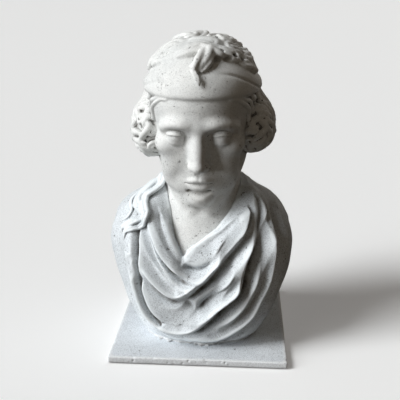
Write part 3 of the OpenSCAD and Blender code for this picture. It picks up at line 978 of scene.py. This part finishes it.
def add_curl(clay, place, outward, size, start, handed):
    """A snail curl on a knob of hair, with a drilled middle."""
    clay.add(Ball(place - outward * 5, 8), blend=2)
    clay.add(curl(place, outward, size, start, handed), blend=0.8)
    clay.cut(Ball(place + outward * size * 0.3, 2.0), blend=0.8)


def add_temple_lock(clay, side, rows, phase):
    """A wavy strand over the temple, which widens from the fillet down."""
    waved = rows_through(rows, 2.0)
    sway = 1.3 * np.sin(np.linspace(0, 3.6 * math.pi, len(waved)) + phase)
    sway = sway * np.linspace(0.2, 1, len(waved))
    shifted = [(side * turn, rise + shift, 0.3) for (turn, rise), shift in zip(waved, sway)]
    places, _ = ray_path(clay, shifted)
    clay.add(strand(places, np.linspace(1.6, 5.0, len(places))), blend=1.0)


def carve_back_hair(clay, chance):
    """Wavy locks, side by side, from the fillet down to the nape, with hooked ends."""
    clay.add(Ball((0, 44, -12), (70, 56, 60)), blend=14)
    for side, mass in zip((-1, 1), SIDE_HAIR):
        clay.add(mass, blend=10)
        clay.add(Ball((side * 58, 34, -10), (30, 44, 42)), blend=12)
    count, points = 19, 12
    for k in range(count):
        turn = 180 + (k - (count - 1) / 2) * 9.5
        low, lift = (-50, 1.5) if k % 2 else (-43, 0.0)
        rows = []
        for share in np.arange(points) / (points - 1):
            wave = 3.6 * math.sin(share * 4.2 * math.pi) + chance.uniform(-0.6, 0.6)
            rows.append((turn + wave, 24 + (low - 24) * share, lift))
        path, _ = hooked(ray_path(clay, rows), 5, 1 if k % 4 < 2 else -1)
        add_lock(clay, path, chance.uniform(15, 18))


# The knot over the forehead: each roll as (width, strands, turns of twist) and then points, and the
# hollows drilled between the rolls as a middle and radii.
KNOT_ROLLS = [
    ((21, 3, 0.0), (-34, -26, 95), (-22, -31, 102), (-9, -30, 106), (4, -24, 108), (16, -12, 108)),
    ((20, 3, 0.2), (31, -34, 95), (25, -36, 101), (15, -31, 106), (3, -22, 108), (-12, -10, 108)),
    ((19, 3, 0.0), (52, -18, 90), (42, -25, 97), (30, -27, 103), (14, -24, 107)),
    ((20, 3, 0.0), (-16, -4, 109), (2, -8, 110), (20, -8, 109), (34, -6, 104)),
    # the tress that hangs over the fillet
    ((20, 3, 0.4), (14, -26, 107), (11, -38, 106), (7, -48, 103), (1, -57, 99), (-5, -65, 94),
     (-7, -71, 90)),
    ((13, 2, 0.3), (17, -32, 105), (16, -43, 102), (12, -54, 98), (7, -62, 94), (5, -68, 90)),
    ((7, 2, 0.0), (-6, -68, 92), (-4, -74, 88), (0, -79, 83), (2, -83, 77)),
]
KNOT_GAPS = [
    ((24, -45, 99), (10, 7, 3.4)), ((38, -37, 97), (7, 6, 3.2)), ((29, -33, 104), (4, 4, 3.4)),
    ((46, -26, 98), (5, 5, 3.4)), ((56, -16, 90), (4, 5, 4)),
]


def carve_knot(clay):
    """Short thick rolls that cross, and a tress that hangs over the fillet."""
    for (width, strands, twist), *rows in KNOT_ROLLS:
        places = rows_through(rows, 2.5)
        outward = units((places - HAIR_CAP.centre) / HAIR_CAP.radii**2)
        add_lock(clay, (places, outward), width, strands, blend=1.8, twist=twist)
    for middle, radii in KNOT_GAPS:
        clay.cut(Ball(middle, radii), blend=1.5)


def weather(clay, level, radius):
    """Softens what lies above a level, counted from the fillet's upper edge, as rain does."""
    whole = clay.part(clay.low, clay.low + clay.step * clay.count)
    share = smooth_step((above_fillet(*clay.coordinates(whole)) - level) / 8)
    clay.d += (clay.blurred(radius) - clay.d) * share


def carve_head(torso, step):
    """The head, neck and bare chest, in the head's frame."""
    clay = Clay((-116, -142, -262), (116, 122, 128), step)
    chance = np.random.default_rng(7)
    carve_skull(clay)
    carve_neck(clay, torso)
    carve_nose(clay)
    carve_eyes(clay)
    carve_mouth(clay)
    carve_back_hair(clay, chance)
    carve_side_hair(clay, chance)
    carve_fillet(clay)
    carve_crown(clay, chance)
    carve_knot(clay)
    weather(clay, level=-14, radius=1.25)
    return clay


# ---------------------------------------------------------------- the slab and its mortar


SLAB_CHIPS, SLAB_PITS, MORTAR_LUMPS = 46, 70, 44
# The uneven outline of the mortar, as waves of (size, number round the foot, shift in degrees).
MORTAR_WAVES = ((0.9, 7, 0), (0.7, 17, 40), (0.5, 31, 0))


def carve_slab(step):
    """The slab with its worn arrises, small chips and pits, and the two screw holes."""
    low, high = (corner / MM for corner in BOXES["base_slab"])
    clay = Clay(low - 3, high + 3, step)
    middle, half = (low + high) / 2, (high - low) / 2
    worn = 1.6
    chance = np.random.default_rng(11)

    def block(x, y, z):
        over = [np.abs(g - m) - h + worn for g, m, h in zip((x, y, z), middle, half)]
        outside = np.sqrt(sum(np.maximum(o, 0) ** 2 for o in over))
        return outside + np.minimum(np.maximum(np.maximum(over[0], over[1]), over[2]), 0) - worn

    def beside(k, along):
        """A place along one of the four sides, the front first."""
        return [(along, -half[1]), (half[0], along), (along, half[1]), (-half[0], along)][k % 4]

    clay.add(Field(low, high, block))
    for k in range(SLAB_CHIPS):
        place = beside(k, chance.uniform(-1, 1) * half[0])
        height = chance.choice((low[2], high[2], high[2]))
        size = chance.uniform(0.6, 1.9)
        clay.cut(Ball((*place, height), (size * 1.4, size * 1.4, size * 0.8)), blend=0.8)
    for k in range(SLAB_PITS):
        place = beside(k, chance.uniform(-0.97, 0.97) * half[0])
        height = middle[2] + chance.uniform(-0.6, 0.6) * half[2]
        clay.cut(Ball((*place, height), chance.uniform(0.7, 1.5)), blend=0.5)
    screw_low, screw_high = (corner / MM for corner in BOXES["slab_screws"])
    head = (screw_high[1] - screw_low[1]) / 2
    for side in (-1, 1):
        x = side * ((screw_high[0] - screw_low[0]) / 2 - head)
        bore = head / 2 + 0.5
        clay.cut(Rope([(x, 0, low[2] - 3, bore), (x, 0, high[2] + 3, bore)], smooth=False))
        clay.cut(Rope([(x, 0, low[2] - 2, head + 2), (x, 0, low[2] + head / 2, head / 2)], smooth=False))
    return clay


def carve_mortar(torso, step):
    """The mortar that has squeezed out round the foot of the bust."""
    low, high = (corner / MM for corner in BOXES["mortar_bed"])
    clay = Clay(low - 8, high + (8, 8, 6), step)
    chance = np.random.default_rng(5)
    foot = torso.outer[:, 0]

    def bed(x, y, z):
        turn = turn_of(x, y)
        waver = sum(size * np.sin(np.radians(turn * count + shift)) for size, count, shift in MORTAR_WAVES)
        away = np.sqrt(x * x + y * y) - np.interp(turn, torso.turns, foot) - 1.0 - waver
        return np.maximum(away + 0.55 * (z - low[2]), np.maximum(low[2] - z, z - high[2] - 1.2))

    clay.add(Field(low - 3, high + 3, bed))
    for _ in range(MORTAR_LUMPS):
        turn = chance.uniform(-180, 180)
        reach = float(np.interp(turn, torso.turns, foot)) + chance.uniform(-0.5, 2.5)
        place = (reach * math.sin(math.radians(turn)), -reach * math.cos(math.radians(turn)))
        size = chance.uniform(0.7, 1.3)
        lump = Ball((*place, low[2] + chance.uniform(0.0, 1.0)), (size * 3.2, size * 3.2, size))
        if chance.uniform() < 0.75:
            clay.add(lump, blend=2.0)
        else:
            clay.cut(lump, blend=1.2)
    clay.cut(Field(low - (10, 10, 4), high + (10, 10, 0), lambda x, y, z: z - low[2]))
    return clay


# ---------------------------------------------------------------- materials


class Nodes:
    """Short ways to make a material's nodes. A source is another node's socket or a plain value."""

    def __init__(self, name):
        self.material = bpy.data.materials.new(name)
        self.material.use_nodes = True
        self.tree = self.material.node_tree
        self.shader = self.tree.nodes["Principled BSDF"]
        self.place = self.tree.nodes.new("ShaderNodeTexCoord").outputs["Object"]

    def link(self, source, socket):
        if isinstance(source, bpy.types.NodeSocket):
            self.tree.links.new(source, socket)
        else:
            socket.default_value = source

    def put(self, name, source):
        """Gives a socket of the shader its source."""
        self.link(source, self.shader.inputs[name])

    def make(self, kind, sources):
        """A node, with the sources of its sockets."""
        node = self.tree.nodes.new(kind)
        for key, source in sources.items():
            self.link(source, node.inputs[key])
        return node

    def noise(self, scale, detail, rough, distortion=0.0):
        sources = {
            "Vector": self.place, "Scale": scale, "Detail": detail, "Roughness": rough,
            "Distortion": distortion,
        }
        return self.make("ShaderNodeTexNoise", sources).outputs["Fac"]

    def attribute(self, name):
        node = self.make("ShaderNodeAttribute", {})
        node.attribute_name = name
        return node.outputs["Fac"]

    def ramp(self, value, low, high, to_low=0.0, to_high=1.0):
        sources = {"Value": value, "From Min": low, "From Max": high, "To Min": to_low, "To Max": to_high}
        node = self.make("ShaderNodeMapRange", sources)
        node.interpolation_type = "SMOOTHSTEP"
        return node.outputs["Result"]

    def math(self, operation, a, b):
        node = self.make("ShaderNodeMath", {0: a, 1: b})
        node.operation = operation
        return node.outputs[0]

    def mix(self, share, a, b):
        node = self.make("ShaderNodeMix", {"Factor": share})
        node.data_type = "RGBA"
        for key, source in (("A", a), ("B", b)):
            socket = next(i for i in node.inputs if i.name == key and i.type == "RGBA")
            self.link(source if isinstance(source, bpy.types.NodeSocket) else (*source, 1), socket)
        return next(o for o in node.outputs if o.type == "RGBA")

    def bump(self, height, distance, strength, after=None):
        sources = {"Height": height, "Distance": distance, "Strength": strength}
        if after is not None:
            sources["Normal"] = after
        return self.make("ShaderNodeBump", sources).outputs["Normal"]


def marble(name, pale, grey, grime_and_shade, pits, stipple, polish, carved=1.0):
    """Weathered white marble: cloudy tone, fine sparkle of grain, dark pits, and dirt and painted shade in
    the hollows, with a painted highlight on proud ridges.
    """
    n = Nodes(name)
    clouds = n.ramp(n.noise(11, 4, 0.6, 0.6), 0.35, 0.68)
    colour = n.mix(clouds, pale, grey)
    ridges = n.math("ABSOLUTE", n.math("SUBTRACT", n.noise(7, 5, 0.6, 1.8), 0.5), 0.0)
    colour = n.mix(n.ramp(ridges, 0.0, 0.03, 0.22, 0.0), colour, [0.72 * c for c in grey])
    grain = n.noise(620, 3, 0.7)
    colour = n.mix(n.ramp(grain, 0.36, 0.56, 0.34 * stipple, 0.0), colour, [0.45 * c for c in grey])
    pitted = n.ramp(n.noise(26, 2, 0.5), 0.42, 0.62)
    small_pits = n.math("MULTIPLY", n.ramp(n.noise(330, 2, 0.6, 0.4), 0.30, 0.37, pits, 0.0), pitted)
    wide_pits = n.ramp(n.noise(120, 3, 0.65, 0.5), 0.27, 0.32, pits, 0.0)
    pit = n.math("MAXIMUM", small_pits, wide_pits)
    colour = n.mix(n.math("MULTIPLY", pit, 0.85), colour, grime_and_shade)
    patchy = n.ramp(n.noise(55, 4, 0.65), 0.3, 0.7, 0.45, 1.15)
    # The hollows and sunk valleys are darkened towards the dark colour: partly dirt, partly painted shade.
    # The carved argument sets how strong.
    hollow = n.math("MULTIPLY", n.ramp(n.attribute("hollow"), 0.12, 0.9), patchy)
    sunk = n.math("MULTIPLY", n.ramp(n.attribute("sunk"), 0.20, 0.9, 0.0, 0.74 * carved), patchy)
    dirt_and_shade = n.math("MINIMUM", n.math("MAXIMUM", n.math("MULTIPLY", hollow, 0.85), sunk), 0.95)
    colour = n.mix(dirt_and_shade, colour, grime_and_shade)
    # Proud ridges and knobs are made paler: partly cleaner stone, partly a painted highlight.
    broad = n.ramp(n.attribute("sunk"), -0.5, -0.12, 0.6 * carved, 0.0)
    clean_and_highlit = n.math("MAXIMUM", broad, n.ramp(n.attribute("hollow"), -0.6, -0.15, 0.6 * carved, 0.0))
    colour = n.mix(clean_and_highlit, colour, [min(0.93, 1.08 * c) for c in pale])
    n.put("Base Color", colour)
    n.put("Roughness", n.ramp(n.noise(90, 3, 0.6), 0.3, 0.7, polish, polish + 0.14))
    n.put("Specular IOR Level", 0.35)
    rough = n.bump(grain, 0.00035 * stipple, 0.8)
    wavy = n.bump(n.noise(95, 3, 0.6), 0.0007, 0.6, after=rough)
    n.put("Normal", n.bump(n.math("MULTIPLY", pit, -1.0), 0.0008, 1.0, after=wavy))
    return n.material


def mortar(name):
    """Grey lime mortar with sand, with painted shade in its hollows."""
    n = Nodes(name)
    clouds = n.ramp(n.noise(120, 4, 0.65), 0.35, 0.65)
    colour = n.mix(clouds, (0.60, 0.61, 0.61), (0.72, 0.74, 0.76))
    sand = n.noise(900, 2, 0.7)
    colour = n.mix(n.ramp(sand, 0.35, 0.5, 0.5, 0.0), colour, (0.22, 0.21, 0.20))
    # Painted shade in the mortar's hollows.
    colour = n.mix(n.ramp(n.attribute("hollow"), 0.2, 0.9, 0.0, 0.6), colour, (0.16, 0.16, 0.16))
    n.put("Base Color", colour)
    n.put("Roughness", 0.92)
    n.put("Normal", n.bump(sand, 0.0008, 1.0))
    return n.material


def metal(name, colour, dull):
    """Turned metal, with fine rings of tool marks and a little tarnish."""
    n = Nodes(name)
    tarnish = n.ramp(n.noise(140, 4, 0.6), 0.4, 0.7)
    n.put("Base Color", n.mix(tarnish, colour, [0.6 * c for c in colour]))
    n.put("Metallic", 1.0)
    n.put("Roughness", n.ramp(n.noise(300, 2, 0.5), 0.3, 0.7, dull, dull + 0.2))
    n.put("Normal", n.bump(n.noise(2200, 1, 0.5), 0.00005, 0.5))
    return n.material


def felt(name):
    """Dark green felt with tangled fibres and a little dust."""
    n = Nodes(name)
    fibres = n.noise(1500, 4, 0.75, 2.0)
    colour = n.mix(n.ramp(fibres, 0.35, 0.65), (0.035, 0.055, 0.045), (0.085, 0.12, 0.10))
    dust = n.ramp(n.noise(60, 3, 0.6), 0.4, 0.65, 0.0, 0.35)
    n.put("Base Color", n.mix(dust, colour, (0.13, 0.15, 0.14)))
    n.put("Roughness", 0.97)
    n.put("Sheen Weight", 0.4)
    n.put("Normal", n.bump(fibres, 0.0006, 1.0))
    return n.material


# ---------------------------------------------------------------- studio


CAMERA_PLACE = (0.0616, -0.9683, 0.5164)  # metres
CAMERA_HEADING, CAMERA_PITCH = 3.88, 17.41  # degrees to the left of straight ahead, and down
CAMERA_LENS = 59.53  # mm, on a sensor 36 mm wide


def make_camera():
    data = bpy.data.cameras.new("camera")
    camera = new_object("camera", data)
    camera.location = CAMERA_PLACE
    heading, pitch = math.radians(CAMERA_HEADING), math.radians(CAMERA_PITCH)
    camera.rotation_euler = (math.pi / 2 - pitch, 0, heading)
    data.sensor_width = 36
    data.lens = CAMERA_LENS
    bpy.context.scene.camera = camera


def make_sun(name, energy, angle, colour, direction):
    """A light from far away, soft over an angle in degrees, that shines along a direction."""
    sun = bpy.data.lights.new(name, "SUN")
    sun.energy, sun.angle, sun.color = energy, math.radians(angle), colour
    lamp = new_object(name, sun)
    lamp.rotation_euler = Vector(direction).to_track_quat("-Z", "Y").to_euler()


def make_studio():
    """A pale floor and room that lend the bust no light, and four suns.

    The key and the window light come from the left, with a weak warm fill and a weak light on the back.
    """
    far = 60.0
    corners = [(-far, -far, 0), (far, -far, 0), (far, far, 0), (-far, far, 0)]
    mesh = bpy.data.meshes.new("floor")
    mesh.from_pydata(corners, [], [(0, 1, 2, 3)])
    floor = new_object("floor", mesh)
    paint = Nodes("floor_paint")
    paint.put("Base Color", (0.92, 0.92, 0.92, 1))
    paint.put("Roughness", 0.9)
    paint.put("Emission Color", (1.0, 1.0, 1.0, 1))
    paint.put("Emission Strength", 0.14)
    mesh.materials.append(paint.material)
    floor.visible_diffuse = False
    floor.visible_glossy = False
    daylight = (0.97, 0.99, 1.0)
    make_sun("key", 2.5, 24, daylight, (0.80, 0.35, -0.76))
    make_sun("window", 2.2, 36, daylight, (0.84, 0.45, -0.16))
    make_sun("fill", 0.26, 170, (1.0, 0.84, 0.66), (-0.2, 0.8, -0.5))
    make_sun("back", 0.6, 60, (1.0, 0.95, 0.88), (-0.45, -0.87, -0.05))
    room = bpy.data.worlds.new("room")
    bpy.context.scene.world = room
    room.use_nodes = True
    room.node_tree.nodes["Background"].inputs["Color"].default_value = (0.91, 0.91, 0.91, 1)
    room.cycles_visibility.diffuse = False
    room.cycles_visibility.glossy = False
    bpy.context.scene.view_settings.view_transform = "Standard"


# ---------------------------------------------------------------- build

# The dark colour of the pits, and of the dirt and painted shade in the hollows.
GRIME_AND_SHADE = (0.085, 0.075, 0.065)
SLAB_GRIME_AND_SHADE = (0.10, 0.10, 0.10)


def finish_piece(piece, material, node):
    """Gives a carved piece its material, and puts it in place of its CAD node."""
    piece.data.materials.clear()
    piece.data.materials.append(material)
    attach(piece, "root")
    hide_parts(node)


def dress(node, material):
    """Gives a carried-over CAD node its material."""
    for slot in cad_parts[node].material_slots:
        slot.material = material


carving_step = CARVING_STEP
torso = Torso()
finish_piece(
    piece_from(carve_head(torso, carving_step), "carved_head", CARVED_FACES, head_place, in_hair),
    marble(
        "head_marble", pale=(0.82, 0.82, 0.80), grey=(0.74, 0.75, 0.74), grime_and_shade=GRIME_AND_SHADE,
        pits=0.8, stipple=0.9, polish=0.5, carved=0.5,
    ),
    "head",
)
finish_piece(
    piece_from(carve_bust(torso, carving_step), "carved_bust", CARVED_FACES),
    marble(
        "drapery_marble", pale=(0.80, 0.84, 0.87), grey=(0.66, 0.70, 0.73), grime_and_shade=GRIME_AND_SHADE,
        pits=1.0, stipple=1.7, polish=0.6, carved=1.3,
    ),
    "draped_bust",
)
finish_piece(
    piece_from(carve_slab(SLAB_STEP), "worn_slab", PLAIN_FACES),
    marble(
        "slab_marble", pale=(0.86, 0.90, 0.94), grey=(0.77, 0.81, 0.85), grime_and_shade=SLAB_GRIME_AND_SHADE,
        pits=0.8, stipple=1.6, polish=0.6,
    ),
    "base_slab",
)
finish_piece(
    piece_from(carve_mortar(torso, MORTAR_STEP), "squeezed_mortar", PLAIN_FACES),
    mortar("bed_mortar"),
    "mortar_bed",
)
dress("neck_mortar", mortar("neck_mortar"))
dress("neck_dowel", metal("dowel_steel", (0.60, 0.60, 0.61), 0.35))
dress("slab_screws", metal("screw_steel", (0.66, 0.66, 0.67), 0.25))
dress("screw_anchors", metal("anchor_brass", (0.72, 0.54, 0.26), 0.3))
dress("base_felt", felt("felt_sheet"))
make_camera()
make_studio()
